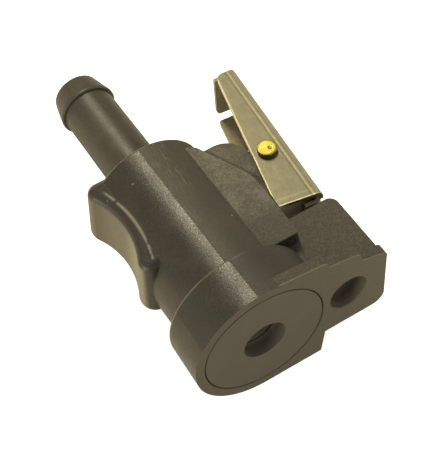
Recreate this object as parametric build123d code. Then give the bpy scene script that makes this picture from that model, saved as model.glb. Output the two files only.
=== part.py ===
from build123d import *
import math
import os

# Female half of a latching fuel hose coupling, lying on its side.
#
# Frame, in millimetres: the origin is the centre of the fuel port on the flat mating face.
# +Y runs back through the barrel to the hose barb, +X runs from the fuel port to the guide hole,
# +Z is up. The mould parts near the plane z = 0, so the housing is symmetric about it apart from
# the keyed outline of its front plate and the draft of its thumb rest.

# ---- clearances and small fits --------------------------------------------------------------
STATIC_GAP = 0.08        # between a pressed-in piece and its seat
RUN_GAP = 0.06           # radial, between a part that turns or slides and its bore
SOFT_GAP = 0.30          # between a soft or curved piece and a moving neighbour
SIDE_GAP = 0.20          # between the lever's flanges and the boss

# ---- mating interface -----------------------------------------------------------------------
PORT_R = 4.44            # fuel port, takes the mating half's nipple
GUIDE_R = 4.16           # guide hole, takes the mating half's guide pin
HOLE_PITCH = 18.5        # fuel port to guide hole

# ---- port insert and its seal ---------------------------------------------------------------
INSERT_R = 12.65
INSERT_T = 6.0
INSERT_EDGE = 0.15       # chamfer on both sides of the joint line
SEAL_WIRE_R = 1.2        # section radius of the O-ring
SEAL_MEAN_R = 5.2

# ---- turned body: collar, barrel, shank, barb -----------------------------------------------
COLLAR_R = 14.75
COLLAR_REAR_R = 14.40
COLLAR_L = 10.25
COLLAR_ROUND = 0.7
BARREL_R = 12.03
BARREL_END = 43.25       # rear face of the barrel
BARREL_ROUND = 0.8
SHANK_R_FRONT = 5.61     # the shank tapers slightly towards the barb for draft
SHANK_R_REAR = 5.50
BARB_Y = 66.9            # front edge of the barb
BARB_R = 6.10
BARB_BEVEL = 0.2
BARB_LAND = 0.5
BARB_TIP_R = 4.86
BARB_L = 5.84
TIP_ROUND = 0.7

# ---- valve chamber and fuel passage ---------------------------------------------------------
CHAMBER_R = 6.0
CHAMBER_L = 24.0         # from the back of the insert to the spring shoulder
PASSAGE_R = 2.9
VALVE_TRAVEL = 4.0

# ---- front plate and its keyed outline ------------------------------------------------------
PLATE_T = 2.7
PLATE_ROUND = 0.6        # round of the plate's rear edges
PLATE_RIGHT = 26.95
PLATE_DRAFT = 0.2        # the right side leans in by this much towards its foot
PLATE_CORNER_R = 2.6
FOOT_RIGHT = 12.33       # right end of the flat foot under the collar
FOOT_STEP_RUN = 0.95     # the riser from the foot to the guide side leans outwards
GUIDE_PLATE_DROP = 8.85  # underside of the plate below the guide hole
# top edge, left to right: (x, z) at the start and end of each pad
PAD_SHELF = ((1.8, 14.65), (13.75, 13.20))
PAD_MIDDLE = ((14.28, 11.55), (20.95, 10.20))
PAD_END = ((21.4, 7.80), (PLATE_RIGHT, 6.10))
PAD_SHELF_R = 1.6        # rounds of the pads' right corners
PAD_MIDDLE_R = 1.2
PAD_END_R = 0.6

# ---- guide block ----------------------------------------------------------------------------
BLOCK_TOP = 6.0
BLOCK_RIGHT = 26.35
BLOCK_L = 16.8
BLOCK_CORNER_R = 1.9
BLOCK_ROUND = 0.3

# ---- saddle between the barrel and the boss -------------------------------------------------
SADDLE_TOP = 9.2
SADDLE_FRONT_GAP = 0.9   # groove between the collar and the saddle
SADDLE_RIGHT = 15.0
SADDLE_BEND_Y = 27.3     # where the right side turns in towards the nose
SADDLE_NOSE = (9.75, 39.0)
SADDLE_REAR = 39.95
SADDLE_FLANK = 0.9       # the flank leans outwards by this much down to the boss
SADDLE_ROUND = 0.35

# ---- latch boss and pivot -------------------------------------------------------------------
PIVOT_X = 21.85
PIVOT_Y = 32.7
PIN_R = 1.6
PIN_HEAD_R = 2.0
PIN_HEAD_T = 1.1
PIN_HEAD_ROUND = 0.25
BOSS_HALF = 5.2          # half thickness of the boss between the lever's flanges
BOSS_EYE_R = 2.9
BOSS_REAR = 40.35
BOSS_REAR_R = 5.0
BOSS_SIDE_X = 19.0       # right side of the boss behind the eye
BOSS_ROUND = 0.3
HOOK_GAP = 3.9           # slot between the guide block and the boss, for the hook and the pin's head
SLOT_FLOOR_X = 16.6

# ---- latch lever, folded from one sheet -----------------------------------------------------
SHEET = 0.8
FOLD_R = 1.4             # outside radius of the folds
LEVER_FRONT_X = 25.30    # outside corner of the web at the front
LEVER_FRONT_Y = 18.3
LEVER_REAR_X = 28.27     # outside corner of the web at the rear
LEVER_REAR_Y = 54.8
FLANGE_FRONT_W = 9.06    # depth of the flanges at the front
FLANGE_REAR_W = 4.40     # depth of the upper flange at the rear
LOW_FLANGE_REAR_W = 5.10 # depth of the lower flange at the rear
FRONT_RAKE = 0.93        # how far the inner front corner lies behind the outer one
CORNER_CUT = 3.5         # length of the inner edge that runs parallel to the web
TAB_REACH = 5.0          # how far the end tab reaches inwards
TAB_GAP = 1.2            # notch between the lower flange and the end tab
TAB_CORNER_R = 1.0
REAR_CORNER_R = 1.7      # inner rear corner of the upper flange
FLANGE_CORNER_R = 0.8
HOOK_HALF = 3.6
HOOK_ROUND = 0.9
HOOK_BITE = 1.1          # how far the hook reaches over the guide pin's edge
LIP_ROOT = 2.0           # length of web that each folded lip takes with it
LIP_NOTCH = 0.5          # relief beside the hook
LATCH_TRAVEL_DEG = 8.0

# ---- springs --------------------------------------------------------------------------------
WIRE_SIDES = 8           # sides of the prism that stands for the round wire
LATCH_SPRING_R = 1.3     # mean coil radius
LATCH_WIRE_R = 0.25
LATCH_TURNS = 6
LATCH_POCKET_X = 15.6    # floor of the spring's pocket in the boss
LATCH_POCKET_GAP = 0.25
VALVE_SPRING_R = 4.6     # outside the skirt's bore by no more than the running gap
VALVE_WIRE_R = 0.4
VALVE_TURNS = 6

# ---- valve poppet ---------------------------------------------------------------------------
POPPET_HEAD_T = 2.2
POPPET_NOSE_R = 2.2
POPPET_SKIRT_L = 6.0
POPPET_WALL = 1.2
FLUTES = 4
FLUTE_R = 1.3

# ---- thumb rest: sizes of its outline at its top --------------------------------------------
REST_TOP = 8.0
REST_BOTTOM = -6.2
REST_DRAFT = 4.0         # degrees by which the sides lean outwards, going down
REST_TIP_X = 12.75        # how far its two horns reach out
REST_HOLLOW_X = 10.5    # how far the bottom of the thumb hollow lies out
REST_FRONT = 20.1
REST_REAR = 44.0
REST_HORN_FRONT = 23.0   # where the hollow starts behind the front horn
REST_HORN_REAR = 41.1
REST_CORNER_R = 2.2
REST_TIP_R = 2.4
REST_ROUND_TOP = 2.0
REST_ROUND_BOTTOM = 2.0
HOLLOW_CUT_TOP = 6.2     # the hollow also takes the barrel's side, up to this height
HOLLOW_CUT_DEPTH = 0.05  # by this much more than the rest's own side

# ---- worked out from the above --------------------------------------------------------------
SEAL_OUTER_R = SEAL_MEAN_R + SEAL_WIRE_R
GLAND_L = 2 * SEAL_WIRE_R + STATIC_GAP
SEAL_Y = INSERT_T - STATIC_GAP - SEAL_WIRE_R
CHAMBER_END = INSERT_T + CHAMBER_L
BARB_END = BARB_Y + BARB_L
SLOT_END = BLOCK_L + HOOK_GAP
FLANGE_HALF = BOSS_HALF + SIDE_GAP + SHEET
INNER_HALF = FLANGE_HALF - SHEET
WEB_HALF = FLANGE_HALF - FOLD_R    # half height of the flat web between the folds
LEAN = math.atan2(LEVER_REAR_X - LEVER_FRONT_X, LEVER_REAR_Y - LEVER_FRONT_Y)
LEVER_L = math.hypot(LEVER_REAR_X - LEVER_FRONT_X, LEVER_REAR_Y - LEVER_FRONT_Y)
LATCH_SPRING_Y = PIVOT_Y + BOSS_EYE_R + SOFT_GAP + LATCH_SPRING_R + LATCH_WIRE_R


def rod(radius, y0, y1, x=0.0, z=0.0):
    """A cylinder along Y from y0 to y1."""
    return Pos(x, (y0 + y1) / 2, z) * Rot(90, 0, 0) * Cylinder(radius, y1 - y0)


def post(radius, z0, z1, x, y):
    """A cylinder along Z from z0 to z1."""
    return Pos(x, y, (z0 + z1) / 2) * Cylinder(radius, z1 - z0)


def spun(*points):
    """A solid turned about the Y axis from (radius, y) points."""
    return revolve(make_face(Polyline(*points, close=True)), Axis.Y)


def slab(face, half):
    """A plan outline thickened to both sides of z = 0."""
    return extrude(face, half, both=True)


def drum(radius, y0, y1, round_r):
    """A cylinder along Y whose rear rim is rounded."""
    body = rod(radius, y0, y1)
    return fillet(body.edges().group_by(Axis.Y)[-1], round_r)


def coil(radius, wire_r, length, turns):
    """A compression spring along Z from z = 0, of wire drawn as a many-sided prism."""
    rise = length - 2 * wire_r
    pitch = rise / turns
    path = Helix(pitch=pitch, height=rise, radius=radius)
    section = Plane(origin=path @ 0, z_dir=path % 0) * RegularPolygon(wire_r, WIRE_SIDES)
    return Pos(0, 0, wire_r) * sweep(section, path, is_frenet=True)


# ---- housing --------------------------------------------------------------------------------

def turned_body():
    """Collar, barrel, shank and barb, all on the fuel axis."""
    collar = spun((0, 0), (COLLAR_R, 0), (COLLAR_REAR_R, COLLAR_L), (0, COLLAR_L))
    collar = fillet(collar.edges().group_by(Axis.Y)[-1], COLLAR_ROUND)
    barrel = drum(BARREL_R, 0, BARREL_END, BARREL_ROUND)
    land = BARB_Y + BARB_LAND
    stem = spun((0, CHAMBER_END), (SHANK_R_FRONT, CHAMBER_END), (SHANK_R_FRONT, BARREL_END),
                (SHANK_R_REAR, BARB_Y), (BARB_R - BARB_BEVEL, BARB_Y), (BARB_R, BARB_Y + BARB_BEVEL),
                (BARB_R, land), (BARB_TIP_R, BARB_END), (0, BARB_END))
    stem = fillet(stem.edges().group_by(Axis.Y)[-1], TIP_ROUND)
    return collar + barrel + stem


def nearest(shape, *points):
    """The corners of a flat outline nearest to the given points."""
    return [shape.vertices().sort_by_distance((*point, 0))[0] for point in points]


def front_plate():
    """The flat plate behind the mating face: a foot below, three stepped pads above."""
    guide_low = -GUIDE_PLATE_DROP
    low_right = (PLATE_RIGHT - PLATE_DRAFT, guide_low)
    face = make_face(Polyline(
        (0, 0), (0, COLLAR_R - 0.02), *PAD_SHELF, *PAD_MIDDLE, *PAD_END, low_right,
        (FOOT_RIGHT + FOOT_STEP_RUN, guide_low), (FOOT_RIGHT, -COLLAR_R), (0, -COLLAR_R), close=True))
    rounds = ((low_right, PLATE_CORNER_R), (PAD_SHELF[1], PAD_SHELF_R),
              (PAD_MIDDLE[1], PAD_MIDDLE_R), (PAD_END[1], PAD_END_R))
    for point, radius in rounds:
        face = fillet(nearest(face, point), radius)
    plate = extrude(Plane.XZ * face, -PLATE_T)
    rear = plate.edges().group_by(Axis.Y)[-1].filter_by(lambda e: e.center().X > 0.5)
    return fillet(rear, PLATE_ROUND)


def guide_block():
    """The block around the guide hole."""
    width = BLOCK_RIGHT - PORT_R
    block = Pos(PORT_R + width / 2, BLOCK_L / 2, 0) * Box(width, BLOCK_L, 2 * BLOCK_TOP)
    corner = block.edges().filter_by(Axis.Z).sort_by_distance((BLOCK_RIGHT, BLOCK_L, 0))[:1]
    block = fillet(corner, BLOCK_CORNER_R)
    rims = block.edges().filter_by(lambda e: abs(abs(e.center().Z) - BLOCK_TOP) < 1e-3)
    rims = rims.filter_by(lambda e: e.center().Y > BLOCK_L / 2 - 0.1 and e.center().X > PORT_R + 1)
    return fillet(rims, BLOCK_ROUND)


def saddle():
    """The raised, leaning-sided plateau that ties the barrel to the boss and the block."""
    front = COLLAR_L + SADDLE_FRONT_GAP
    bend = (SADDLE_RIGHT, SADDLE_BEND_Y)
    shoulder = (SADDLE_NOSE[0] - 1.4, SADDLE_REAR)
    face = make_face(Polyline(
        (0, front), (SADDLE_RIGHT, front), bend, SADDLE_NOSE, shoulder, (0, SADDLE_REAR), close=True))
    face = fillet(nearest(face, bend), 9.0)
    face = fillet(nearest(face, (SADDLE_RIGHT, front)), 0.8)
    face = fillet(nearest(face, SADDLE_NOSE), 0.7)
    base = offset(face, SADDLE_FLANK * SADDLE_TOP / (SADDLE_TOP - BOSS_HALF))
    base &= Pos(0, front + 50, 0) * Rectangle(100, 100)
    half = loft([Plane.XY * base, Plane.XY.offset(SADDLE_TOP) * face], ruled=True)
    return half + mirror(half, Plane.XY)


def boss():
    """The flat boss between the lever's flanges, with the pivot eye and the spring's pocket."""
    eye = post(BOSS_EYE_R, -BOSS_HALF, BOSS_HALF, PIVOT_X, PIVOT_Y)
    inner = SHEET + SOFT_GAP
    rear_corner = (BOSS_SIDE_X, BOSS_REAR)
    face = make_face(Polyline(
        (SLOT_FLOOR_X - 8, SLOT_END), (along(0, inner)[0], SLOT_END), along(SLOT_END - 13, inner),
        (PIVOT_X + BOSS_EYE_R * math.cos(LEAN), PIVOT_Y - BOSS_EYE_R * math.sin(LEAN)),
        (PIVOT_X, PIVOT_Y + BOSS_EYE_R * 0.9), (BOSS_SIDE_X, PIVOT_Y + 0.5 * BOSS_EYE_R),
        rear_corner, (SLOT_FLOOR_X - 8, BOSS_REAR), close=True))
    face = fillet(nearest(face, rear_corner), BOSS_REAR_R)
    pocket_r = LATCH_SPRING_R + LATCH_WIRE_R + LATCH_POCKET_GAP
    pocket = Pos(LATCH_POCKET_X + 10, LATCH_SPRING_Y, 0) * Rot(0, 90, 0) * Cylinder(pocket_r, 20)
    return slab(face, BOSS_HALF) + eye - pocket


def hollow_arc(out=0.0):
    """The thumb hollow in plan, moved outwards."""
    middle = (REST_HORN_FRONT + REST_HORN_REAR) / 2
    return ThreePointArc((-REST_TIP_X - out, REST_HORN_REAR), (-REST_HOLLOW_X - out, middle),
                         (-REST_TIP_X - out, REST_HORN_FRONT))


def thumb_rest():
    """The horned slab opposite the lever, hollowed for a thumb, with draft on its sides."""
    reach = BARREL_R * 0.6
    corners = ((-REST_TIP_X, REST_FRONT), (-REST_TIP_X, REST_REAR))
    rim = Polyline((-REST_TIP_X, REST_HORN_FRONT), corners[0], (-reach, REST_FRONT),
                   (-reach, REST_REAR), corners[1], (-REST_TIP_X, REST_HORN_REAR))
    face = make_face(hollow_arc() + rim)
    face = fillet(nearest(face, *corners), REST_CORNER_R)
    tips = nearest(face, (-REST_TIP_X, REST_HORN_FRONT), (-REST_TIP_X, REST_HORN_REAR))
    face = fillet(tips, REST_TIP_R)
    rest = extrude(Pos(0, 0, REST_TOP) * face, REST_TOP - REST_BOTTOM, dir=(0, 0, -1), taper=-REST_DRAFT)
    for height, radius in ((REST_TOP, REST_ROUND_TOP), (REST_BOTTOM, REST_ROUND_BOTTOM)):
        rims = rest.edges().filter_by(
            lambda e: abs(e.center().Z - height) < 1e-3 and e.center().X < -reach - 0.01)
        rest = fillet(rims, radius)
    return rest


def hollow_cut():
    """What the thumb hollow takes from the barrel's side."""
    out = (REST_TOP - HOLLOW_CUT_TOP) * math.tan(math.radians(REST_DRAFT)) - HOLLOW_CUT_DEPTH
    far = BARREL_R + 3
    rim = Polyline((-REST_TIP_X - out, REST_HORN_FRONT), (-far, REST_HORN_FRONT),
                   (-far, REST_HORN_REAR), (-REST_TIP_X - out, REST_HORN_REAR))
    return extrude(Pos(0, 0, HOLLOW_CUT_TOP) * make_face(hollow_arc(out) + rim), -2 * BARREL_R)


def housing():
    """The one-piece moulding."""
    body = turned_body() - hollow_cut()
    body += front_plate() + guide_block() + saddle() + boss() + thumb_rest()
    seat_r = INSERT_R + STATIC_GAP
    cuts = [
        rod(seat_r, -1, INSERT_T),
        spun((0, -1), (seat_r + INSERT_EDGE + 1, -1), (seat_r, INSERT_EDGE), (0, INSERT_EDGE)),
        rod(CHAMBER_R, 0, CHAMBER_END),
        rod(PASSAGE_R, 0, BARB_END + 1),
        rod(GUIDE_R, -1, BLOCK_L + 1, HOLE_PITCH),
        Pos((SLOT_FLOOR_X + 40) / 2, BLOCK_L + HOOK_GAP / 2, 0)
        * Box(40 - SLOT_FLOOR_X, HOOK_GAP, 4 * SADDLE_TOP),
        post(PIN_R + RUN_GAP, -SADDLE_TOP, SADDLE_TOP, PIVOT_X, PIVOT_Y),
    ]
    for cut in cuts:
        body -= cut
    return body


# ---- insert, seal and valve -----------------------------------------------------------------

def port_insert():
    """The round cover that holds the O-ring and carries the fuel port."""
    plug = rod(INSERT_R, 0, INSERT_T)
    plug = chamfer(plug.edges().group_by(Axis.Y)[0], INSERT_EDGE)
    gland = rod(SEAL_OUTER_R + STATIC_GAP, INSERT_T - GLAND_L - STATIC_GAP, INSERT_T + 1)
    return plug - rod(PORT_R, -1, INSERT_T + 1) - gland


def nipple_seal():
    """The O-ring that grips the mating nipple and seats the valve."""
    return Pos(0, SEAL_Y, 0) * Rot(90, 0, 0) * Torus(SEAL_MEAN_R, SEAL_WIRE_R)


def valve_poppet():
    """A fluted cup with a conical nose that closes on the O-ring."""
    skirt_r = CHAMBER_R - RUN_GAP
    back = INSERT_T + SOFT_GAP + POPPET_HEAD_T + POPPET_SKIRT_L
    front = INSERT_T + SOFT_GAP
    nose_y = SEAL_Y - SEAL_WIRE_R * 0.5
    cup = spun((0, nose_y), (POPPET_NOSE_R, nose_y), (SEAL_MEAN_R - SEAL_WIRE_R - SOFT_GAP, SEAL_Y + 0.3),
               (SEAL_MEAN_R - SEAL_WIRE_R - SOFT_GAP, front), (skirt_r, front), (skirt_r, back),
               (skirt_r - POPPET_WALL, back), (skirt_r - POPPET_WALL, front + POPPET_HEAD_T),
               (0, front + POPPET_HEAD_T))
    for i in range(FLUTES):
        turn = Rot(0, 360 / FLUTES * (i + 0.5), 0)
        cup -= turn * rod(FLUTE_R, front - 1, back + 1, skirt_r)
    return cup


def valve_spring():
    """The spring that closes the poppet."""
    start = INSERT_T + SOFT_GAP + POPPET_HEAD_T
    spring = coil(VALVE_SPRING_R - VALVE_WIRE_R - RUN_GAP, VALVE_WIRE_R, CHAMBER_END - start, VALVE_TURNS)
    return Pos(0, start, 0) * Rot(-90, 0, 0) * spring


# ---- latch ----------------------------------------------------------------------------------

def along(distance, inwards):
    """A plan point on the lever: distance behind its front corner, and inwards from the web."""
    x = LEVER_FRONT_X + distance * math.sin(LEAN) - inwards * math.cos(LEAN)
    y = LEVER_FRONT_Y + distance * math.cos(LEAN) + inwards * math.sin(LEAN)
    return (x, y)


def flange_half(rear_width, height):
    """A solid as deep as one flange, between the plane z = 0 and the flange's outer face."""
    rear = along(LEVER_L, rear_width)
    plan = make_face(Polyline(
        along(0, 0), along(LEVER_L, 0), rear, along(FRONT_RAKE + CORNER_CUT, FLANGE_FRONT_W),
        along(FRONT_RAKE, FLANGE_FRONT_W), close=True))
    plan = fillet(nearest(plan, rear), REAR_CORNER_R)
    return extrude(plan, height, dir=(0, 0, 1))


def lever_channel():
    """The web and its two tapered flanges, before anything is cut from them."""
    shell = flange_half(FLANGE_REAR_W, FLANGE_HALF) + flange_half(LOW_FLANGE_REAR_W, -FLANGE_HALF)
    void = slab(lever_strip(-5, LEVER_L + 5, SHEET, 20), INNER_HALF)
    shell = fillet(long_edges(shell), FOLD_R)
    return shell - fillet(long_edges(void), FOLD_R - SHEET)


def lever_strip(start, end, outer, inner):
    """A plan face between two distances along the lever and two depths in from its web."""
    return make_face(Polyline(
        along(start, outer), along(end, outer), along(end, inner), along(start, inner), close=True))


def long_edges(shape):
    """The two edges of a folded shape that run along the lever, next to the web."""
    long_ones = shape.edges().filter_by(lambda e: e.length > LEVER_L - 1 and abs(e.center().Z) > 1)
    return long_ones.sort_by(Axis.X)[-2:]


def lever_lip(start, end, reach, low, high, round_r):
    """A strip of the web that runs on from start and folds inwards at end."""
    back = end - math.copysign(SHEET, end - start)
    face = make_face(Polyline(
        along(start, 0), along(end, 0), along(end, reach), along(back, reach), along(back, SHEET),
        along(start, SHEET), close=True))
    face = fillet(nearest(face, along(end, 0)), FOLD_R)
    face = fillet(nearest(face, along(back, SHEET)), FOLD_R - SHEET)
    strip = extrude(Pos(0, 0, low) * face, high - low)
    tips = strip.edges().filter_by(lambda e: abs(e.length - SHEET) < 1e-3)
    tips = tips.sort_by_distance((*along(end, reach), low))[:1]
    return fillet(tips, round_r)


def latch_lever():
    """The channel with its tapered flanges, an end tab at the rear and a hook at the front."""
    lever = lever_channel()
    low_end = LEVER_L - SHEET - TAB_GAP
    root = low_end - LIP_ROOT
    lever -= extrude(Pos(0, 0, -WEB_HALF) * lever_strip(low_end, 60, -1, 20), -5)
    lever -= extrude(Pos(0, 0, -WEB_HALF) * lever_strip(root, 60, -1, SHEET), 2 * WEB_HALF)
    lever -= extrude(Pos(0, 0, -HOOK_HALF - LIP_NOTCH) * lever_strip(-5, LIP_ROOT, -1, SHEET),
                     2 * (HOOK_HALF + LIP_NOTCH))
    corner = lever.edges().filter_by(Axis.Z).sort_by_distance(
        (*along(low_end, LOW_FLANGE_REAR_W), -INNER_HALF))
    lever = fillet(corner[:1], FLANGE_CORNER_R)
    lever += extrude(Pos(0, 0, -WEB_HALF) * lever_strip(root, low_end, 0, SHEET), 2 * WEB_HALF)
    lever += lever_lip(low_end, LEVER_L, TAB_REACH, -WEB_HALF, WEB_HALF, TAB_CORNER_R)
    tab = lever_strip(LEVER_L - SHEET, LEVER_L, TAB_REACH, FOLD_R)
    lever += extrude(Pos(0, 0, WEB_HALF) * tab, INNER_HALF - WEB_HALF + 0.1)
    reach = LEVER_FRONT_X - (HOLE_PITCH + GUIDE_R - HOOK_BITE)
    lever += lever_lip(LIP_ROOT, 0, reach, -HOOK_HALF, HOOK_HALF, HOOK_ROUND)
    lever -= post(PIN_R + RUN_GAP, -FLANGE_HALF - 1, FLANGE_HALF + 1, PIVOT_X, PIVOT_Y)
    return lever


def pivot_pin():
    """A headed brass pin, riveted over below."""
    pin = post(PIN_R, -FLANGE_HALF, FLANGE_HALF, PIVOT_X, PIVOT_Y)
    head = post(PIN_HEAD_R, FLANGE_HALF, FLANGE_HALF + PIN_HEAD_T, PIVOT_X, PIVOT_Y)
    head = fillet(head.edges().group_by(Axis.Z)[-1], PIN_HEAD_ROUND)
    return pin + head + mirror(head, Plane.XY)


def latch_spring():
    """The spring that pushes the rear of the lever outwards."""
    web = (LATCH_SPRING_Y - LEVER_FRONT_Y) * math.tan(LEAN) + LEVER_FRONT_X - SHEET / math.cos(LEAN)
    length = web - LATCH_POCKET_X - (LATCH_SPRING_R + LATCH_WIRE_R) * math.tan(LEAN)
    spring = coil(LATCH_SPRING_R, LATCH_WIRE_R, length, LATCH_TURNS)
    return Pos(LATCH_POCKET_X, LATCH_SPRING_Y, 0) * Rot(0, 90, 0) * spring


PIECES = {
    "housing": housing,
    "port_insert": port_insert,
    "nipple_seal": nipple_seal,
    "valve_poppet": valve_poppet,
    "valve_spring": valve_spring,
    "latch_lever": latch_lever,
    "pivot_pin": pivot_pin,
    "latch_spring": latch_spring,
}

os.makedirs("parts", exist_ok=True)
for name, build in PIECES.items():
    export_step(build(), f"parts/{name}.step")
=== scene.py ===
"""Studio scene of the female half of a latching fuel hose coupling."""
import logging
import math
from dataclasses import dataclass, field
from enum import Enum
from typing import Any, Sequence

import bpy
from mathutils import Matrix, Vector


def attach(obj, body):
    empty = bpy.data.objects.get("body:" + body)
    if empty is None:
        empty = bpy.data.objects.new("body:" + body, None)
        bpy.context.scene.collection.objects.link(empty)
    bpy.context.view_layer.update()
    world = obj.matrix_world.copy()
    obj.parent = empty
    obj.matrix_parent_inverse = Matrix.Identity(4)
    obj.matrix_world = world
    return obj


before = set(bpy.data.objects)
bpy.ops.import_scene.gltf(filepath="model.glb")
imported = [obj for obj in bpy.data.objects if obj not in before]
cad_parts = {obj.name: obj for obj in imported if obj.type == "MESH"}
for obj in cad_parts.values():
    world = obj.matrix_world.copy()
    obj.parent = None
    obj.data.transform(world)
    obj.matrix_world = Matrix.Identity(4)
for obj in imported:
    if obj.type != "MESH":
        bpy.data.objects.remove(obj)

LOG = logging.getLogger("coupling")
MM = 0.001
Colour = tuple[float, float, float]
Circle = tuple[float, float, float]     # x and y of the centre, and the radius

PLASTIC_IOR = 1.46
# Dark colour for dirt in joints and for painted shade in grooves, on flanks and at steps.
DIRT_AND_SHADE: Colour = (0.018, 0.015, 0.010)


class Grain(Enum):
    """How coarse a moulded or rolled surface is: pattern size per millimetre."""

    SAND = 4.2
    SATIN = 1.3
    BLOTCH = 0.22


class Mix(Enum):
    """Ways of mixing two colours."""

    BLEND = "MIX"
    MULTIPLY = "MULTIPLY"


# ---- shader expressions ---------------------------------------------------------------------

class Sock:
    """An output of a shader node that takes part in Python arithmetic."""

    def __init__(self, shader: "Shader", socket: bpy.types.NodeSocket) -> None:
        """Keep the socket and the tree it belongs to."""
        self.shader = shader
        self.socket = socket

    def _math(self, operation: str, *values: Any) -> "Sock":
        """Add one Math node.

        Args:
            operation: the Math node's operation.
            values: its inputs, in order.

        Returns:
            The node's result.
        """
        return self.shader.node("ShaderNodeMath", {"operation": operation}, dict(enumerate(values)))

    def __add__(self, other: Any) -> "Sock":
        """Sum."""
        return self._math("ADD", self, other)

    def __radd__(self, other: Any) -> "Sock":
        """Sum, from the right."""
        return self._math("ADD", other, self)

    def __sub__(self, other: Any) -> "Sock":
        """Difference."""
        return self._math("SUBTRACT", self, other)

    def __rsub__(self, other: Any) -> "Sock":
        """Difference, from the right."""
        return self._math("SUBTRACT", other, self)

    def __mul__(self, other: Any) -> "Sock":
        """Product."""
        return self._math("MULTIPLY", self, other)

    def __rmul__(self, other: Any) -> "Sock":
        """Product, from the right."""
        return self._math("MULTIPLY", other, self)

    def __neg__(self) -> "Sock":
        """Opposite."""
        return self._math("MULTIPLY", self, -1.0)

    def __abs__(self) -> "Sock":
        """Size without its sign."""
        return self._math("ABSOLUTE", self)

    def root(self) -> "Sock":
        """Square root."""
        return self._math("SQRT", self)

    def sine(self) -> "Sock":
        """Sine."""
        return self._math("SINE", self)

    def larger(self, other: Any) -> "Sock":
        """The larger of two values."""
        return self._math("MAXIMUM", self, other)

    def above(self, edge: float, width: float = 0.1) -> "Sock":
        """A soft step.

        Args:
            edge: the value at the middle of the step.
            width: the step's width.

        Returns:
            0 below the step, 1 above it.
        """
        return self.shader.node("ShaderNodeMapRange", {"interpolation_type": "SMOOTHSTEP"}, {
            "Value": self, "From Min": edge - width / 2, "From Max": edge + width / 2})

    def below(self, edge: float, width: float = 0.1) -> "Sock":
        """The reverse of above."""
        return 1.0 - self.above(edge, width)

    def near(self, centre: float, half: float) -> "Sock":
        """1 at the centre, falling to 0 at half to either side."""
        return abs(self - centre).below(half / 2, half)


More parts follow.
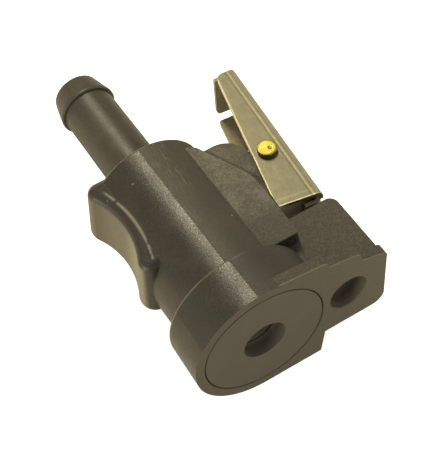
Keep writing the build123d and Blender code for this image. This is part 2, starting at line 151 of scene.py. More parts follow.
class Shader:
    """One material's node tree."""

    def __init__(self, name: str) -> None:
        """Start an empty material with its coordinates in millimetres."""
        self.material = bpy.data.materials.new(name)
        self.material.use_nodes = True
        self.tree = self.material.node_tree
        self.tree.nodes.clear()
        where = self.tree.nodes.new("ShaderNodeTexCoord")
        self.place = self.node("ShaderNodeVectorMath", {"operation": "SCALE"},
                               {0: Sock(self, where.outputs["Object"]), "Scale": 1 / MM})
        self.x, self.y, self.z = self._parts(self.place)
        self.nx, self.ny, self.nz = self._parts(Sock(self, where.outputs["Normal"]))

    def node(self, kind: str, settings: dict[str, Any], inputs: dict[Any, Any],
             output: Any = 0) -> Sock:
        """Add a node.

        Args:
            kind: the node's type.
            settings: its own properties, set first.
            inputs: values or results for its sockets, by name or number.
            output: which output to return.

        Returns:
            That output.
        """
        made = self.tree.nodes.new(kind)
        for key, value in settings.items():
            setattr(made, key, value)
        for key, value in inputs.items():
            socket = made.inputs[key]
            if isinstance(value, Sock):
                self.tree.links.new(value.socket, socket)
            else:
                socket.default_value = value
        return Sock(self, made.outputs[output])

    def _parts(self, vector: Sock) -> tuple[Sock, Sock, Sock]:
        """Split a vector into its three numbers."""
        split = self.node("ShaderNodeSeparateXYZ", {}, {0: vector})
        outputs = split.socket.node.outputs
        return Sock(self, outputs[0]), Sock(self, outputs[1]), Sock(self, outputs[2])

    def point(self, x: Any, y: Any, z: Any) -> Sock:
        """A vector from three numbers."""
        return self.node("ShaderNodeCombineXYZ", {}, {0: x, 1: y, 2: z})

    def noise(self, scale: float, detail: float = 2.0, where: Sock | None = None) -> Sock:
        """Cloudy noise between 0 and 1.

        Args:
            scale: features per millimetre.
            detail: how many finer layers it has.
            where: coordinates, the place on the piece if left out.

        Returns:
            The noise.
        """
        return self.node("ShaderNodeTexNoise", {}, {
            "Vector": where or self.place, "Scale": scale, "Detail": detail, "Roughness": 0.55})

    def specks(self, scale: float, size: float) -> Sock:
        """Sparse round specks, 1 in a speck and 0 elsewhere."""
        cells = self.node("ShaderNodeTexVoronoi", {}, {"Vector": self.place, "Scale": scale}, "Distance")
        return cells.below(size, size * 0.8)

    def colours(self, factor: Any, first: Any, second: Any, way: Mix = Mix.BLEND) -> Sock:
        """Mix two colours.

        Args:
            factor: how much of the second.
            first: a colour or a result.
            second: a colour or a result.
            way: how they are mixed.

        Returns:
            The mixed colour.
        """
        first, second = (c if isinstance(c, Sock) else (*c, 1.0) for c in (first, second))
        return self.node("ShaderNodeMix", {"data_type": "RGBA", "blend_type": way.value},
                         {0: factor, 6: first, 7: second}, 2)

    def shaded(self, colour: Any, amount: Sock) -> Sock:
        """A colour made lighter or darker by a number around 1."""
        grey = self.node("ShaderNodeCombineColor", {}, {0: amount, 1: amount, 2: amount})
        return self.colours(1.0, colour, grey, Mix.MULTIPLY)

    def bump(self, height: Sock, depth_mm: float, under: Sock | None = None) -> Sock:
        """A relief.

        Args:
            height: its height, from 0 to 1.
            depth_mm: the real height of 1, in millimetres.
            under: another relief that it lies on.

        Returns:
            The normal.
        """
        inputs: dict[Any, Any] = {"Height": height, "Distance": depth_mm * MM, "Strength": 1.0}
        if under:
            inputs["Normal"] = under
        return self.node("ShaderNodeBump", {}, inputs)

    def finish(self, colour: Any, roughness: Any, normal: Sock, **others: Any) -> bpy.types.Material:
        """Close the tree with its surface.

        Args:
            colour: base colour.
            roughness: roughness.
            normal: relief.
            others: the surface's other sockets.

        Returns:
            The material.
        """
        inputs = {"Base Color": colour, "Roughness": roughness, "Normal": normal, **others}
        return self.close(self.node("ShaderNodeBsdfPrincipled", {}, inputs))

    def close(self, surface: Sock) -> bpy.types.Material:
        """Send a surface to the output, and return the material."""
        out = self.tree.nodes.new("ShaderNodeOutputMaterial")
        self.tree.links.new(surface.socket, out.inputs["Surface"])
        return self.material


def beyond(s: Shader, circle: Circle, across: Sock | None = None) -> Sock:
    """How far a point lies outside a circle.

    Args:
        s: the material.
        circle: its centre and radius.
        across: the second of the two coordinates, y if left out.

    Returns:
        The distance in millimetres, less than nothing inside.
    """
    dx, dy = s.x - circle[0], (across or s.y) - circle[1]
    return (dx * dx + dy * dy).root() - circle[2]


# ---- finishes -------------------------------------------------------------------------------

@dataclass(frozen=True)
class Grains:
    """The three noises that the finishes are made from."""

    fine: Sock
    mid: Sock
    broad: Sock

    @classmethod
    def of(cls, s: Shader) -> "Grains":
        """Add the noises to a material."""
        return cls(s.noise(Grain.SAND.value, 3), s.noise(Grain.SATIN.value, 4),
                   s.noise(Grain.BLOTCH.value, 4))


@dataclass(frozen=True)
class Zones:
    """Where the kinds of surface of the moulding lie: 1 in the zone and 0 elsewhere."""

    radius: Sock        # not a zone: the distance from the fuel axis in millimetres
    off_barrel: Sock
    off_collar: Sock
    front: Sock
    sand: Sock
    turned: Sock
    seam: Sock
    guide: Sock         # inside the guide hole
    rest: Sock
    shelf: Sock         # top of the thumb rest
    stem: Sock          # shank and barb


@dataclass(frozen=True)
class MouldedHousing:
    """Olive-black moulding: satin where it is turned, sand-grained on its flat pads."""

    satin: Colour = (0.036, 0.031, 0.023)
    grained: Colour = (0.066, 0.057, 0.041)
    dusty: Colour = (0.145, 0.127, 0.094)
    # Painted light: the boss's front face in the recess, and a painted floor reflection on the thumb hollow.
    painted_light: Colour = (0.24, 0.21, 0.145)
    face: Colour = (0.075, 0.065, 0.048)
    # Painted light inside the guide hole.
    guide_bore_light: Colour = (0.31, 0.27, 0.21)
    # Dust specks and scratches, and painted highlights on edges and on the thumb hollow's lip.
    dust_and_highlight: Colour = (0.30, 0.27, 0.19)
    barrel_r: float = 12.03
    collar_r: float = 14.75
    collar_l: float = 10.25
    seat_r: float = 12.80
    barrel_l: float = 43.35
    block_top: float = 6.0
    boss_top: float = 5.2
    boss_front: float = 20.7
    seam_x: float = -0.75
    rest_x: float = -8.2
    hollow: Circle = (-29.83, 32.05, 21.35)
    # Circle along which the painted highlight on the thumb hollow's lip runs.
    lip_highlight: Circle = (-40.56, 31.07, 31.85)
    lip_ends: tuple[float, float] = (21.8, 40.3)
    guide_hole: tuple[float, float] = (18.5, 4.16)
    saddle_bend: tuple[float, float] = (15.0, 27.3)
    saddle_side: tuple[float, float] = (-0.4095, 0.9126)

    def make(self) -> bpy.types.Material:
        """Build the material."""
        s = Shader("moulded_housing")
        zones, grains = self.zones(s), Grains.of(s)
        scratches_and_rim_highlight, lip_highlight = self.scratches(s), self.painted_lip_highlight(s)
        colour = s.shaded(self.stain_and_painted_light(s, zones, grains), self.tone(s, zones, grains))
        # Painted highlights on edges, dust specks, scratches, and a painted highlight along the thumb
        # hollow's lip.
        colour = s.colours(self.edge_highlights(s, zones), colour, self.dust_and_highlight)
        colour = s.colours(s.specks(0.22, 0.04) * (1.0 - zones.guide) * 0.55, colour, self.dust_and_highlight)
        colour = s.colours(scratches_and_rim_highlight * 0.40, colour, self.dust_and_highlight)
        colour = s.colours(lip_highlight * 0.60, colour, self.dust_and_highlight)
        return s.finish(colour, self.roughness(zones, grains, lip_highlight), self.relief(s, zones, grains, scratches_and_rim_highlight),
                        IOR=PLASTIC_IOR)

    def zones(self, s: Shader) -> Zones:
        """Find the kinds of surface from their place."""
        radius = (s.x * s.x + s.z * s.z).root()
        off_barrel = s.y.above(self.collar_l + 0.15, 0.1) * radius.above(self.barrel_r + 0.1, 0.06)
        off_collar = radius.above(self.collar_r + 0.12, 0.08)
        front = s.y.below(0.04, 0.04)
        sand = s.x.above(0.5, 0.4) * off_barrel.larger(off_collar) * (1.0 - front)
        turned = s.y.below(self.barrel_l, 0.2) * s.z.above(0.0, 1.0) * (1.0 - sand) * (1.0 - front)
        hollow = beyond(s, self.hollow).below(0.12, 0.08)
        rest = s.x.below(self.rest_x, 0.2) * radius.above(self.barrel_r + 0.1, 0.2).larger(hollow)
        shelf = s.x.below(self.rest_x + 0.2, 0.2) * s.z.above(7.4, 0.2) * s.nz.above(0.45, 0.2)
        hole_x, hole_r = self.guide_hole
        return Zones(
            radius=radius, off_barrel=off_barrel, off_collar=off_collar,
            front=front, sand=sand, turned=turned,
            seam=s.x.above(self.seam_x, 0.14) * turned,
            guide=beyond(s, (hole_x, 0.0, hole_r), s.z).below(0.12, 0.1) * (1.0 - front),
            rest=rest * s.y.above(self.collar_l + 1.0, 0.2),
            shelf=shelf * radius.above(self.barrel_r, 0.1),
            stem=s.y.above(self.barrel_l, 0.2))

    def stain_and_painted_light(self, s: Shader, zones: Zones, grains: Grains) -> Sock:
        """Colour of each kind of surface, with painted light in the recess, on the thumb hollow and in the
        guide hole, and dirt and painted shade where they gather.

        Args:
            s: the material.
            zones: where the kinds of surface lie.
            grains: the noises.

        Returns:
            The colour before its mottling.
        """
        dusty = s.y.above(19.0, 5.0) * s.x.below(20.5, 5.0) * (0.35 + 0.65 * grains.broad.above(0.48, 0.25))
        colour = s.colours(zones.sand, self.satin, s.colours(dusty, self.grained, self.dusty))
        behind_seam = zones.seam * (0.15 + 0.55 * s.y.above(self.collar_l, 0.2))
        colour = s.colours(behind_seam, colour, self.grained)
        # Painted light on the boss's front face, in the recess under the lever.
        painted_recess_light = (-s.ny).above(0.8, 0.1) * s.x.above(15.0, 1.0) * s.y.near(self.boss_front, 1.0)
        colour = s.colours(painted_recess_light, colour, s.shaded(self.painted_light, s.noise(1.0) + 1.8))
        colour = s.colours(zones.stem * 0.6, colour, self.grained)
        # Painted reflection of the floor on the side of the thumb hollow, strongest towards its front.
        painted_floor_sheen = zones.rest * s.nz.below(0.35, 0.3) * s.ny.above(-0.45, 0.5)
        painted_floor_sheen = painted_floor_sheen * (0.5 + 0.5 * s.y.below(30.0, 6.0))
        colour = s.colours(painted_floor_sheen * 0.8, colour, self.painted_light)
        colour = s.colours(zones.front, colour, self.face)
        # Painted light inside the guide hole, darker near its mouth and paler deeper in.
        colour = s.colours(zones.guide, colour, s.shaded(self.guide_bore_light, 0.35 + 0.75 * s.y.above(4.0, 3.0)))
        return s.colours(self.dirt_and_painted_shade(s, zones), colour, DIRT_AND_SHADE)

    def dirt_and_painted_shade(self, s: Shader, zones: Zones) -> Sock:
        """Dirt round the insert; painted shade in the groove behind the collar, along the steps and on the
        top of the thumb rest.

        Args:
            s: the material.
            zones: where the kinds of surface lie.

        Returns:
            How dirty or shaded a place is.
        """
        joint = zones.radius.near(self.seat_r, 0.16) * s.y.below(0.5, 0.2)
        # Painted shade in the groove behind the collar.
        groove = s.y.above(self.collar_l + 0.05, 0.3) * s.y.below(self.collar_l + 1.1, 0.4)
        groove = groove * zones.off_barrel * abs(s.z).above(self.block_top + 0.3, 0.3)
        # Painted shade on the saddle's sloping flanks.
        flank = zones.sand * abs(s.nz).below(0.97, 0.04) * s.z.above(self.boss_top + 0.15, 0.1)
        flank = flank * s.x.above(8.0, 0.5) * s.y.above(12.0, 0.5)
        # Painted shadow on the boss's top at the foot of the saddle's step.
        (x, y), (dx, dy) = self.saddle_bend, self.saddle_side
        away = (s.x - x) * dy - (s.y - y) * dx
        foot = away.below(3.0, 0.9) * away.above(0.0, 0.3) * s.nz.above(0.97, 0.02)
        foot = foot * s.z.near(self.boss_top, 0.3) * s.y.above(y, 2.0)
        # The joint round the insert is dirt; groove, flanks, foot and the top of the thumb rest are painted
        # shade.
        return joint.larger(groove * 0.6).larger(flank.larger(foot) * 0.75).larger(zones.shelf * 0.6)

    def tone(self, s: Shader, zones: Zones, grains: Grains) -> Sock:
        """Mottling, strongest where the surface is sand-grained.

        Args:
            s: the material.
            zones: where the kinds of surface lie.
            grains: the noises.

        Returns:
            What the colour is multiplied by.
        """
        speckle = (grains.fine * 0.5 + s.noise(2.3, 2) * 0.5).above(0.52, 0.24) - 0.5
        cloud = 0.78 + 0.44 * grains.broad + (grains.mid - 0.5) * (0.35 + zones.sand * 0.35)
        return cloud + speckle * (0.16 + zones.sand * 0.44) * (1.0 - zones.guide)

    def edge_highlights(self, s: Shader, zones: Zones) -> Sock:
        """Painted highlights on the front edges of the pads and the rear rims of collar and barrel, patchy
        in places.

        Args:
            s: the material.
            zones: where the kinds of surface lie.

        Returns:
            How worn a place is.
        """
        pads = s.y.near(0.16, 0.26) * zones.off_collar * zones.sand * 0.35
        collar = s.y.near(self.collar_l - 0.35, 0.45) * zones.radius.above(self.collar_r - 0.9, 0.3)
        collar = collar * (1.0 - s.x.above(2.0, 4.0))
        barrel = s.y.near(self.barrel_l - 0.45, 0.45) * zones.radius.above(self.barrel_r - 0.8, 0.2)
        rims = collar.larger(barrel) * (0.10 + 0.25 * s.noise(0.35, 3).above(0.45, 0.2))
        return pads.larger(rims * (1.0 - zones.sand))

    def painted_lip_highlight(self, s: Shader) -> Sock:
        """A painted highlight along the rim between the thumb hollow and the barrel."""
        start, end = self.lip_ends
        painted_sheen = beyond(s, self.lip_highlight).near(0.0, 0.42) * s.z.above(7.0, 0.8)
        return painted_sheen * s.y.above(start, 0.8) * s.y.below(end, 1.5) * s.noise(0.5, 3).above(0.36, 0.2)

    def scratches(self, s: Shader) -> Sock:
        """Fine scratches that run along the top of the barrel, towards its rear."""
        streaks = s.noise(1.0, 2, s.point(s.x * 7.0, s.y * 0.28, s.z * 2.0)).above(0.60, 0.08)
        patch = s.y.above(30.0, 8.0) * s.y.below(43.0, 1.0) * s.x.near(2.0, 4.0) * s.z.above(11.0, 0.5)
        return streaks * patch

    def roughness(self, zones: Zones, grains: Grains, lip_highlight: Sock) -> Sock:
        """Roughness, least where the moulding is turned and along the painted lip highlight.

        Args:
            zones: where the kinds of surface lie.
            grains: the noises.
            lip_highlight: how strong the painted highlight on the thumb hollow's lip is.

        Returns:
            The roughness.
        """
        kinds = 0.36 + 0.31 * zones.sand + 0.15 * zones.front + 0.24 * zones.seam
        uneven = (grains.fine.above(0.52, 0.30) - 0.5) * 0.16 + (grains.broad - 0.5) * 0.26
        return kinds + uneven + zones.stem * 0.10 + zones.rest * 0.10 + zones.shelf * 0.25 - lip_highlight * 0.12

    def relief(self, s: Shader, zones: Zones, grains: Grains, scratches_and_rim_highlight: Sock) -> Sock:
        """Sand grain, scratches and the ridge of the parting line.

        Args:
            s: the material.
            zones: where the kinds of surface lie.
            grains: the noises.
            scratches_and_rim_highlight: where the scratches are.

        Returns:
            The normal.
        """
        grain = s.y.below(self.barrel_l, 0.2) * 0.28 + 0.20 + zones.sand * 0.55 - zones.front * 0.35
        ridge = s.x.near(self.seam_x, 0.16) * zones.turned
        waves = s.bump(grains.mid * 0.8 + grains.broad * 1.5, 0.030)
        return s.bump(grains.fine * grain + scratches_and_rim_highlight * 0.3 + ridge * 0.4, 0.065, waves)


@dataclass(frozen=True)
class FlatPlastic:
    """Plain moulded plastic without grain, with a dark joint round it and painted light in its bore."""

    name: str
    colour: Colour
    roughness: float
    rim_r: float = 0.0
    bore_r: float = 0.0
    # Painted light inside the bore.
    port_bore_light: Colour = (0.26, 0.23, 0.18)

    def make(self) -> bpy.types.Material:
        """Build the material."""
        s = Shader(self.name)
        grains = Grains.of(s)
        tone = 0.82 + 0.36 * grains.broad + (grains.mid - 0.5) * 0.3 + (grains.fine - 0.5) * 0.2
        colour = s.shaded(self.colour, tone)
        if self.rim_r:
            radius = (s.x * s.x + s.z * s.z).root()
            inside = radius.below(self.bore_r + 0.02, 0.03) * s.y.above(0.1, 0.1)
            colour = s.colours(radius.above(self.rim_r - 0.10, 0.06), colour, DIRT_AND_SHADE)
            # Painted light inside the bore, darker near its mouth and paler deeper in.
            colour = s.colours(inside, colour, s.shaded(self.port_bore_light, 0.35 + 1.15 * s.y.above(3.5, 3.0)))
        roughness = self.roughness + (grains.mid - 0.5) * 0.2
        return s.finish(colour, roughness, s.bump(grains.fine * 0.5 + grains.mid, 0.025), IOR=PLASTIC_IOR)


@dataclass(frozen=True)
class SheetZones:
    """Where the kinds of surface of the folded sheet lie: 1 in the zone and 0 elsewhere."""

    rim: Sock           # sheared edges, bare metal brightened as a painted highlight
    cut: Sock           # the flanges' front edges
    scratches_and_rim_highlight: Sock        # painted highlight along the upper flange's rims
    fold: Sock          # outside of the folds, painted paler as a sheen
    inner: Sock         # stained inner faces, painted paler as fill light
    crease: Sock        # pressed line along the fold
    front_crease: Sock  # pressed line along the front edge


@dataclass(frozen=True)
class SheetSteel:
    """Dull rolled sheet with bright sheared edges that also carry a painted highlight, painted highlights on
    the rims and folds, and stained inner faces painted paler as fill light.
    """

    rolled: Colour = (0.160, 0.148, 0.106)
    # Sheared edges: bare metal, brightened as a painted highlight.
    sheared_and_highlight: Colour = (0.74, 0.65, 0.43)
    # Inner faces: stain, painted paler as fill light.
    stain_and_painted_light: Colour = (0.40, 0.352, 0.245)
    # Outside of the folds: painted sheen.
    painted_sheen: Colour = (0.42, 0.375, 0.265)
    burnt: Colour = (0.065, 0.056, 0.040)
    pressed: Colour = (0.30, 0.26, 0.16)
    corner: tuple[float, float] = (25.30, 18.3)
    lean: float = math.atan2(28.27 - 25.30, 54.8 - 18.3)
    inner_half: float = 5.4
    outer_from: float = 6.1
    tab_from: float = 35.9
    front_width: float = 9.06
    taper_from: float = 4.43
    taper: float = 0.1449
    rake: float = 0.10

    def make(self) -> bpy.types.Material:
        """Build the material."""
        s = Shader("sheet_steel")
        cos, sin = math.cos(self.lean), math.sin(self.lean)
        dx, dy = s.x - self.corner[0], s.y - self.corner[1]
        length = dx * sin + dy * cos
        depth = dy * sin - dx * cos
        zones = self.zones(s, length, depth)
        streak = s.noise(1.0, 3, s.point(length * 0.25, depth * 5.0, s.z * 5.0))
        mid, broad = s.noise(0.9, 4), s.noise(0.20, 4)
        tone = 0.80 + 0.34 * broad + (streak - 0.5) * 0.10 + (mid - 0.5) * 0.42
        colour = s.shaded(self.rolled, tone)
        colour = s.colours(zones.crease.larger(zones.front_crease) * 0.30, colour, self.pressed)
        # Inner faces: stain, painted paler as fill light where they lie in shade.
        colour = s.colours(zones.inner, colour, s.shaded(self.stain_and_painted_light, 0.7 + 0.6 * mid))
        # Painted sheen on the outside of the folds.
        colour = s.colours(zones.fold * 0.7, colour, s.shaded(self.painted_sheen, 0.86 + 0.3 * mid))
        # Sheared edges and the rims of the upper flange painted bright as highlights.
        bright = zones.rim.larger(zones.scratches_and_rim_highlight * 0.40)
        colour = s.colours(bright, colour, s.shaded(self.sheared_and_highlight, 0.86 + 0.3 * mid))
        colour = s.colours(zones.cut, colour, self.burnt)
        uneven = (broad - 0.5) * 0.2 + (streak - 0.5) * 0.16
        roughness = 0.42 + uneven - zones.rim * 0.08 + zones.inner * 0.15
        waves = s.bump(mid * 0.8 + broad * 2.0 - zones.crease * 0.8 - zones.front_crease * 0.5, 0.02)
        dull = (zones.inner * 0.85).larger(zones.rim * 0.45).larger(zones.cut * 0.9).larger(zones.fold * 0.7)
        return s.finish(colour, roughness, s.bump(streak, 0.005, waves), Metallic=1.0 - dull)

    def zones(self, s: Shader, length: Sock, depth: Sock) -> SheetZones:
        """Find the kinds of surface from their place and the way they face.

        Args:
            s: the material.
            length: distance behind the lever's front corner.
            depth: distance inwards from its web.

        Returns:
            The zones.
        """
        cos, sin = math.cos(self.lean), math.sin(self.lean)
        outward = s.nx * cos - s.ny * sin
        lengthways = s.nx * sin + s.ny * cos
        tall, flat_up = abs(s.z), abs(s.nz)
        on_flange = tall.above(self.inner_half - 0.02, 0.03)
        on_top = tall.above(self.outer_from, 0.1)
        between = tall.below(self.inner_half, 0.1)

        rim = on_flange * flat_up.below(0.5, 0.3) * outward.below(0.35, 0.2)
        tab = length.above(self.tab_from, 0.1) * tall.below(self.inner_half - 0.5, 0.1)
        rim = rim.larger(tab * flat_up.above(0.6, 0.2))
        cut = lengthways.below(-0.6, 0.2) * length.below(0.8, 0.3) * on_flange
        rim = rim * (1.0 - cut)

        # A painted highlight along the upper flange's rims.
        width = self.front_width - (length - self.taper_from) * self.taper
        scratches_and_rim_highlight = (depth - width).above(-0.24, 0.16).larger((length - depth * self.rake).below(0.26, 0.16))

        # Inner faces, painted paler as fill light.
        facing_in = (s.z * s.nz).below(-0.2, 0.2).larger(outward.below(-0.6, 0.2) * between)
        facing_in = facing_in.larger(lengthways.below(-0.6, 0.2) * length.above(35.0, 0.3))
        facing_in = facing_in.larger(lengthways.above(0.6, 0.2) * length.below(2.0, 0.3))
        facing_in = facing_in.larger(flat_up.above(0.6, 0.2) * length.below(4.0, 0.3))
        return SheetZones(
            rim=rim, cut=cut,
            scratches_and_rim_highlight=scratches_and_rim_highlight * on_top * length.below(35.5, 1.0),
            fold=outward.above(0.10, 0.15) * tall.above(self.inner_half - 0.2, 0.3),
            inner=facing_in * tall.below(self.inner_half + 0.05, 0.05) * (1.0 - rim),
            crease=depth.near(2.05, 0.45) * on_top,
            front_crease=(length - depth * self.rake).near(1.5, 0.5) * on_top)


@dataclass(frozen=True)
class TurnedBrass:
    """Turned brass, darker round the rim, with a small dent in the head."""

    colour: Colour = (0.47, 0.385, 0.085)
    darker_brass: Colour = (0.16, 0.11, 0.03)
    centre: Circle = (21.85, 32.7, 1.55)
    dent: Circle = (22.35, 32.35, 0.35)

    def make(self) -> bpy.types.Material:
        """Build the material."""
        s = Shader("turned_brass")
        outside = beyond(s, self.centre)
        dent = beyond(s, self.dent).below(0.0, 0.4)
        rings = ((outside + self.centre[2]) * 38.0).sine()
        mid = s.noise(0.8, 3)
        colour = s.shaded(self.colour, 0.70 + 0.60 * mid)
        # Darker round the rim and in the dent.
        colour = s.colours((dent * 0.55).larger(outside.above(0.0, 0.25) * 0.6), colour, self.darker_brass)
        relief = s.bump(rings * 0.01 + mid * 0.08 - dent * 3.0, 0.03)
        return s.finish(colour, 0.34 + (mid - 0.5) * 0.15 + dent * 0.2, relief, Metallic=1.0)


@dataclass(frozen=True)
class SpringWire:
    """Drawn spring wire."""

    colour: Colour = (0.48, 0.46, 0.41)

    def make(self) -> bpy.types.Material:
        """Build the material."""
        s = Shader("spring_wire")
        mid = s.noise(2.5, 3)
        colour = s.shaded(self.colour, 0.75 + 0.5 * mid)
        return s.finish(colour, 0.30 + mid * 0.15, s.bump(mid, 0.01), Metallic=1.0)


# ---- geometry nodes -------------------------------------------------------------------------

@dataclass
class Bead:
    """A thin raised line swept along a path, such as the flash at a parting line."""

    name: str
    path: Sequence[tuple[float, float, float]]
    radius: float = 0.05
    sides: int = 6

    def tree(self, material: bpy.types.Material) -> bpy.types.NodeTree:
        """The tree that sweeps a round section along a curve.

        Args:
            material: what the swept wire is made of.

        Returns:
            The node tree.
        """
        tree = bpy.data.node_groups.new(f"{self.name}_sweep", "GeometryNodeTree")
        tree.interface.new_socket("Geometry", in_out="INPUT", socket_type="NodeSocketGeometry")
        tree.interface.new_socket("Radius", in_out="INPUT", socket_type="NodeSocketFloat")
        tree.interface.new_socket("Geometry", in_out="OUTPUT", socket_type="NodeSocketGeometry")
        add, link = tree.nodes.new, tree.links.new
        start, end = add("NodeGroupInput"), add("NodeGroupOutput")
        to_curve, section = add("GeometryNodeMeshToCurve"), add("GeometryNodeCurvePrimitiveCircle")
        sweep, real = add("GeometryNodeCurveToMesh"), add("GeometryNodeRealizeInstances")
        smooth, paint = add("GeometryNodeSetShadeSmooth"), add("GeometryNodeSetMaterial")
        section.inputs["Resolution"].default_value = self.sides
        sweep.inputs["Fill Caps"].default_value = True
        paint.inputs["Material"].default_value = material
        link(start.outputs["Geometry"], to_curve.inputs["Mesh"])
        link(start.outputs["Radius"], section.inputs["Radius"])
        link(to_curve.outputs["Curve"], sweep.inputs["Curve"])
        link(section.outputs["Curve"], sweep.inputs["Profile Curve"])
        link(sweep.outputs["Mesh"], smooth.inputs["Geometry"])
        link(smooth.outputs["Geometry"], real.inputs["Geometry"])
        link(real.outputs["Geometry"], paint.inputs["Geometry"])
        link(paint.outputs["Geometry"], end.inputs["Geometry"])
        return tree

    def make(self, material: bpy.types.Material) -> bpy.types.Object:
        """Sweep the bead.

        Args:
            material: what it is made of.

        Returns:
            A plain mesh object.
        """
        mesh = bpy.data.meshes.new(self.name)
        points = [Vector(p) * MM for p in self.path]
        mesh.from_pydata(points, [(i, i + 1) for i in range(len(points) - 1)], [])
        guide = bpy.data.objects.new(f"{self.name}_path", mesh)
        bpy.context.scene.collection.objects.link(guide)
        tree = self.tree(material)
        sweep = guide.modifiers.new("sweep", "NODES")
        sweep.node_group = tree
        socket = next(i for i in tree.interface.items_tree
                      if i.item_type == "SOCKET" and i.in_out == "INPUT" and i.name == "Radius")
        sweep[socket.identifier] = self.radius * MM
        ready = guide.evaluated_get(bpy.context.evaluated_depsgraph_get())
        swept = bpy.data.meshes.new_from_object(ready)
        swept.name = self.name
        bpy.data.objects.remove(guide)
        made = bpy.data.objects.new(self.name, swept)
        bpy.context.scene.collection.objects.link(made)
        return made


# ---- sub-assemblies -------------------------------------------------------------------------

def dress(node: str, material: bpy.types.Material) -> None:
    """Give a CAD node its finish.

    Args:
        node: the node's name.
        material: the finish.
    """
    mesh = bpy.data.objects[node].data
    mesh.materials.clear()
    mesh.materials.append(material)
    LOG.info("%s: %s", node, material.name)


@dataclass
class CouplingBody:
    """The moulding, its port insert and the flash along its parting line."""

    housing: MouldedHousing = field(default_factory=MouldedHousing)
    insert: FlatPlastic = FlatPlastic("port_insert_plastic", (0.072, 0.062, 0.048), 0.46, 12.65, 4.44)
    barrel_end: float = 43.25
    barb: tuple[float, float] = (66.9, 72.6)
    shank: tuple[float, float] = (5.61, 5.50)
    barb_r: float = 6.10
    tip_r: float = 4.95

    def build(self) -> None:
        """Dress the nodes and lay the parting beads."""
        plastic = self.housing.make()
        dress("housing", plastic)
        dress("port_insert", self.insert.make())
        for side, word in ((1, "right"), (-1, "left")):
            bead = Bead(f"parting_bead_{word}", self.bead_path(side)).make(plastic)
            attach(bead, "coupling_body")
            LOG.info("%s: %d faces", bead.name, len(bead.data.polygons))

    def bead_path(self, side: int) -> list[tuple[float, float, float]]:
        """Points of one parting line along the shank and over the barb.

        Args:
            side: 1 on the latch's side, -1 opposite.

        Returns:
            Points in millimetres.
        """
        start, end = self.barb
        front_r, rear_r = self.shank
        return [(side * front_r, self.barrel_end + 0.1, 0.0), (side * rear_r, start - 0.05, 0.0),
                (side * self.barb_r, start + 0.1, 0.0), (side * self.barb_r, start + 0.5, 0.0),
                (side * (self.tip_r + 0.12), end - 0.8, 0.0)]


@dataclass
class ValveGear:
    """The hidden O-ring, poppet and spring."""

    seal: FlatPlastic = FlatPlastic("seal_rubber", (0.115, 0.100, 0.078), 0.62)
    poppet: FlatPlastic = FlatPlastic("valve_plastic", (0.30, 0.27, 0.20), 0.35)

    def build(self, wire: bpy.types.Material) -> None:
        """Dress the nodes.

        Args:
            wire: the springs' finish.
        """
        dress("nipple_seal", self.seal.make())
        dress("valve_poppet", self.poppet.make())
        dress("valve_spring", wire)


@dataclass
class LatchGear:
    """The folded lever, its pin and its spring."""

    steel: SheetSteel = field(default_factory=SheetSteel)
    brass: TurnedBrass = field(default_factory=TurnedBrass)

    def build(self, wire: bpy.types.Material) -> None:
        """Dress the nodes.

        Args:
            wire: the springs' finish.
        """
        dress("latch_lever", self.steel.make())
        dress("pivot_pin", self.brass.make())
        dress("latch_spring", wire)


# ---- studio ---------------------------------------------------------------------------------

@dataclass(frozen=True)
class Lamp:
    """A rectangular lamp aimed at a point on the object."""

    name: str
    towards: tuple[float, float, float]
    distance: float
    size: tuple[float, float]
    power: float
    target: tuple[float, float, float] = (0.004, 0.030, 0.0)
    tint: Colour = (1.0, 0.95, 0.84)

    def make(self) -> None:
        """Hang the lamp."""
        data = bpy.data.lights.new(self.name, "AREA")
        data.shape = "RECTANGLE"
        data.size, data.size_y = self.size
        data.energy = self.power
        data.color = self.tint
        lamp = bpy.data.objects.new(self.name, data)
        direction = Vector(self.towards).normalized()
        lamp.location = Vector(self.target) + direction * self.distance
        lamp.rotation_euler = direction.to_track_quat("Z", "Y").to_euler()
        bpy.context.scene.collection.objects.link(lamp)


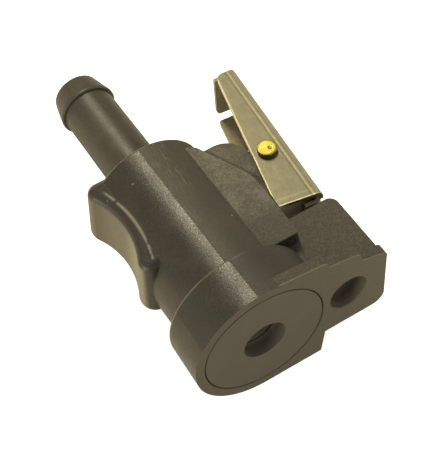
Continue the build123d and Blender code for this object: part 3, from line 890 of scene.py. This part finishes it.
@dataclass
class Studio:
    """Pale floor, soft light and the camera."""

    floor_z: float = -0.01480
    floor_half: float = 3.0
    floor_colour: Colour = (0.92, 0.92, 0.90)
    floor_glow: float = 0.72
    floor_bounce: Colour = (0.55, 0.51, 0.41)
    floor_warmth: Colour = (0.95, 0.86, 0.64)
    floor_warm_glow: float = 0.35
    sky: Colour = (0.33, 0.318, 0.272)
    backdrop: Colour = (0.90, 0.90, 0.88)
    camera_place: tuple[float, float, float] = (-0.06808, -0.11740, 0.21952)
    azimuth: float = -27.2647
    elevation: float = 53.6538
    roll: float = -5.5981
    lens: float = 111.13
    lamps: tuple[Lamp, ...] = (
        Lamp("back_strip", (0.08, 0.527, 0.85), 0.55, (0.15, 0.20), 1.9, tint=(1.0, 0.92, 0.66)),
        Lamp("left_soft", (-0.90, -0.18, 0.20), 0.60, (0.35, 0.35), 2.9, tint=(1.0, 0.94, 0.78)),
        Lamp("right_soft", (0.90, -0.25, 0.40), 0.60, (0.35, 0.35), 0.8, tint=(1.0, 0.94, 0.80)),
        Lamp("front_soft", (0.25, -0.90, 0.45), 0.65, (0.40, 0.30), 0.65),
    )

    def build(self) -> None:
        """Set up floor, lights and camera."""
        self.lay_floor()
        for lamp in self.lamps:
            lamp.make()
        bpy.context.scene.world = self.make_sky()
        bpy.context.scene.view_settings.view_transform = "Standard"
        self.set_camera()

    def make_sky(self) -> bpy.types.World:
        """Even light from all round, before a pale backdrop."""
        world = bpy.data.worlds.new("sky")
        world.use_nodes = True
        nodes, link = world.node_tree.nodes, world.node_tree.links.new
        light, paper = nodes["Background"], nodes.new("ShaderNodeBackground")
        rays, both = nodes.new("ShaderNodeLightPath"), nodes.new("ShaderNodeMixShader")
        light.inputs["Color"].default_value = (*self.sky, 1.0)
        paper.inputs["Color"].default_value = (*self.backdrop, 1.0)
        link(rays.outputs["Is Camera Ray"], both.inputs[0])
        link(light.outputs[0], both.inputs[1])
        link(paper.outputs[0], both.inputs[2])
        link(both.outputs[0], nodes["World Output"].inputs["Surface"])
        return world

    def lay_floor(self) -> None:
        """A large sheet: pale and glowing where it is seen, warmer where it lights the object."""
        half = self.floor_half
        mesh = bpy.data.meshes.new("floor")
        corners = [(-half, -half), (half, -half), (half, half), (-half, half)]
        mesh.from_pydata([(x, y, self.floor_z) for x, y in corners], [], [(0, 1, 2, 3)])
        floor = bpy.data.objects.new("floor", mesh)
        bpy.context.scene.collection.objects.link(floor)
        s = Shader("pale_floor")
        seen = s.node("ShaderNodeBsdfPrincipled", {}, {
            "Base Color": (*self.floor_colour, 1.0), "Roughness": 0.9, "Specular IOR Level": 0.0,
            "Emission Color": (1.0, 1.0, 1.0, 1.0), "Emission Strength": self.floor_glow})
        bounced = s.node("ShaderNodeBsdfPrincipled", {}, {
            "Base Color": (*self.floor_bounce, 1.0), "Roughness": 0.9, "Specular IOR Level": 0.0,
            "Emission Color": (*self.floor_warmth, 1.0), "Emission Strength": self.floor_warm_glow})
        rays = s.node("ShaderNodeLightPath", {}, {}, "Is Camera Ray")
        mesh.materials.append(s.close(s.node("ShaderNodeMixShader", {}, {0: rays, 1: bounced, 2: seen})))

    def set_camera(self) -> None:
        """Place the camera on its line of sight."""
        a, e, r = (math.radians(v) for v in (self.azimuth, self.elevation, self.roll))
        view = Vector((math.sin(a) * math.cos(e), -math.cos(a) * math.cos(e), math.sin(e)))
        level = Vector((math.cos(a), math.sin(a), 0.0))
        up = view.cross(level)
        right = math.cos(r) * level + math.sin(r) * up
        top = math.cos(r) * up - math.sin(r) * level
        data = bpy.data.cameras.new("camera")
        data.lens, data.sensor_width, data.clip_start = self.lens, 36.0, 0.01
        camera = bpy.data.objects.new("camera", data)
        turn = Matrix((right, top, view)).transposed().to_4x4()
        camera.matrix_world = Matrix.Translation(self.camera_place) @ turn
        bpy.context.scene.collection.objects.link(camera)
        bpy.context.scene.camera = camera


def main() -> None:
    """Build the scene."""
    logging.basicConfig(level=logging.INFO, format="%(message)s")
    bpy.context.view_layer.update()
    wire = SpringWire().make()
    CouplingBody().build()
    ValveGear().build(wire)
    LatchGear().build(wire)
    Studio().build()


if __name__ == "__main__":
    main()
